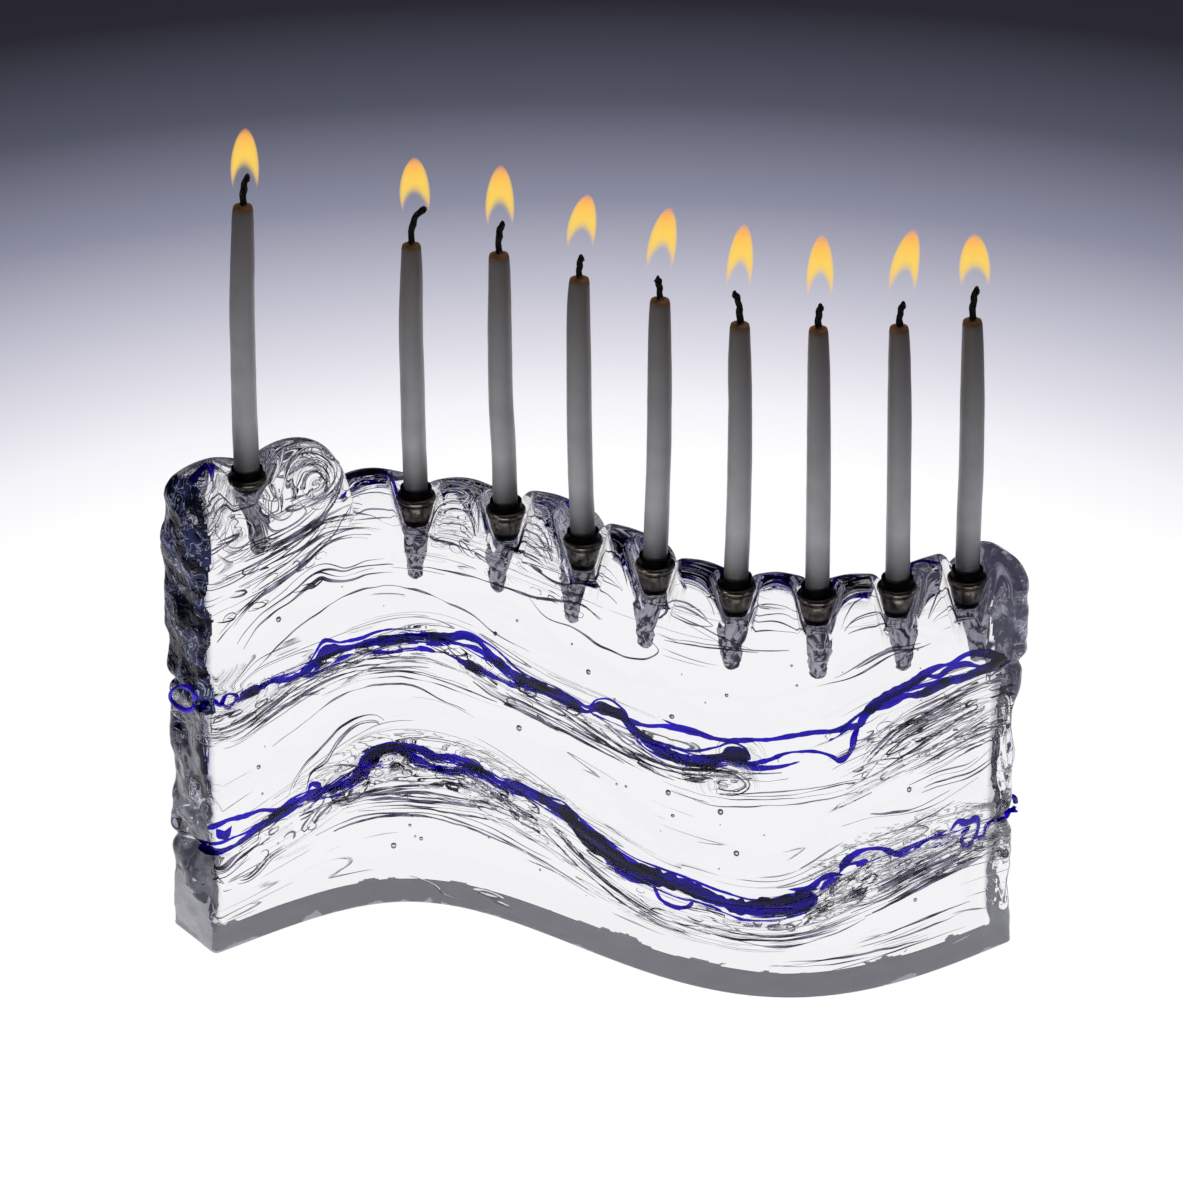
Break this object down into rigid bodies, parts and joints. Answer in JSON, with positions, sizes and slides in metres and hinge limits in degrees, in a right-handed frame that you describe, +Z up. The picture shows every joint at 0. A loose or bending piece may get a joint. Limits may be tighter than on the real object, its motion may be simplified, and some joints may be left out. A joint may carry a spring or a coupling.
{
  "type": "menorah",
  "caption": "Wave-shaped cast glass menorah in three layers with cobalt trails, a lobed crown and a row of metal cups that hold lift-out tapers.",
  "frame": {"origin": "centre of the base's bounding box, on the surface the menorah stands on", "axes": "+Z up, front towards -Y, the shamash end at -X"},
  "size_m": [0.304, 0.0936, 0.2991],
  "materials": {
    "clear_glass": "clear hot-cast glass, fire-polished faces, ground base",
    "cobalt_glass": "saturated cobalt blue trailed glass",
    "dark_nickel": "polished dark nickel",
    "clear_adhesive": "clear adhesive on a rough drilled wall, reads grey",
    "white_wax": "white candle wax, hand dipped",
    "charred_cotton": "braided cotton wick, charred at the top"
  },
  "bodies": {
    "root": {"lower_pour": "clear_glass", "middle_pour": "clear_glass", "upper_pour": "clear_glass", "cobalt_trail_lower_front": "cobalt_glass", "cobalt_trail_lower_back": "cobalt_glass", "cobalt_trail_upper_left": "cobalt_glass", "cobalt_trail_upper_right": "cobalt_glass", "cobalt_trail_upper_back": "cobalt_glass", "cobalt_loop_left": "cobalt_glass", "cobalt_loop_right": "cobalt_glass", "candle_cup_shamash": "dark_nickel", "cup_adhesive_shamash": "clear_adhesive", "candle_cup_1": "dark_nickel", "cup_adhesive_1": "clear_adhesive", "candle_cup_2": "dark_nickel", "cup_adhesive_2": "clear_adhesive", "candle_cup_3": "dark_nickel", "cup_adhesive_3": "clear_adhesive", "candle_cup_4": "dark_nickel", "cup_adhesive_4": "clear_adhesive", "candle_cup_5": "dark_nickel", "cup_adhesive_5": "clear_adhesive", "candle_cup_6": "dark_nickel", "cup_adhesive_6": "clear_adhesive", "candle_cup_7": "dark_nickel", "cup_adhesive_7": "clear_adhesive", "candle_cup_8": "dark_nickel", "cup_adhesive_8": "clear_adhesive"},
    "lift_candle_shamash": {"candle_shamash": "white_wax", "wick_shamash": "charred_cotton"},
    "lift_candle_1": {"candle_1": "white_wax", "wick_1": "charred_cotton"},
    "lift_candle_2": {"candle_2": "white_wax", "wick_2": "charred_cotton"},
    "lift_candle_3": {"candle_3": "white_wax", "wick_3": "charred_cotton"},
    "lift_candle_4": {"candle_4": "white_wax", "wick_4": "charred_cotton"},
    "lift_candle_5": {"candle_5": "white_wax", "wick_5": "charred_cotton"},
    "lift_candle_6": {"candle_6": "white_wax", "wick_6": "charred_cotton"},
    "lift_candle_7": {"candle_7": "white_wax", "wick_7": "charred_cotton"},
    "lift_candle_8": {"candle_8": "white_wax", "wick_8": "charred_cotton"}
  },
  "joints": [
    {"name": "candle_lift_shamash", "type": "slide", "parent": "root", "child": "lift_candle_shamash", "axis": [0.0105, 0, 0.9999], "range_m": [0, 0.04]},
    {"name": "candle_lift_1", "type": "slide", "parent": "root", "child": "lift_candle_1", "axis": [-0.0052, 0, 1], "range_m": [0, 0.04]},
    {"name": "candle_lift_2", "type": "slide", "parent": "root", "child": "lift_candle_2", "axis": [-0.0192, 0, 0.9998], "range_m": [0, 0.04]},
    {"name": "candle_lift_3", "type": "slide", "parent": "root", "child": "lift_candle_3", "axis": [-0.0122, 0, 0.9999], "range_m": [0, 0.04]},
    {"name": "candle_lift_4", "type": "slide", "parent": "root", "child": "lift_candle_4", "axis": [0.0122, 0, 0.9999], "range_m": [0, 0.04]},
    {"name": "candle_lift_5", "type": "slide", "parent": "root", "child": "lift_candle_5", "axis": [0.0035, 0, 1], "range_m": [0, 0.04]},
    {"name": "candle_lift_6", "type": "slide", "parent": "root", "child": "lift_candle_6", "axis": [-0.0122, 0, 0.9999], "range_m": [0, 0.04]},
    {"name": "candle_lift_7", "type": "slide", "parent": "root", "child": "lift_candle_7", "axis": [-0.014, 0, 0.9999], "range_m": [0, 0.04]},
    {"name": "candle_lift_8", "type": "slide", "parent": "root", "child": "lift_candle_8", "axis": [-0.0087, 0, 1], "range_m": [0, 0.04]}
  ]
}
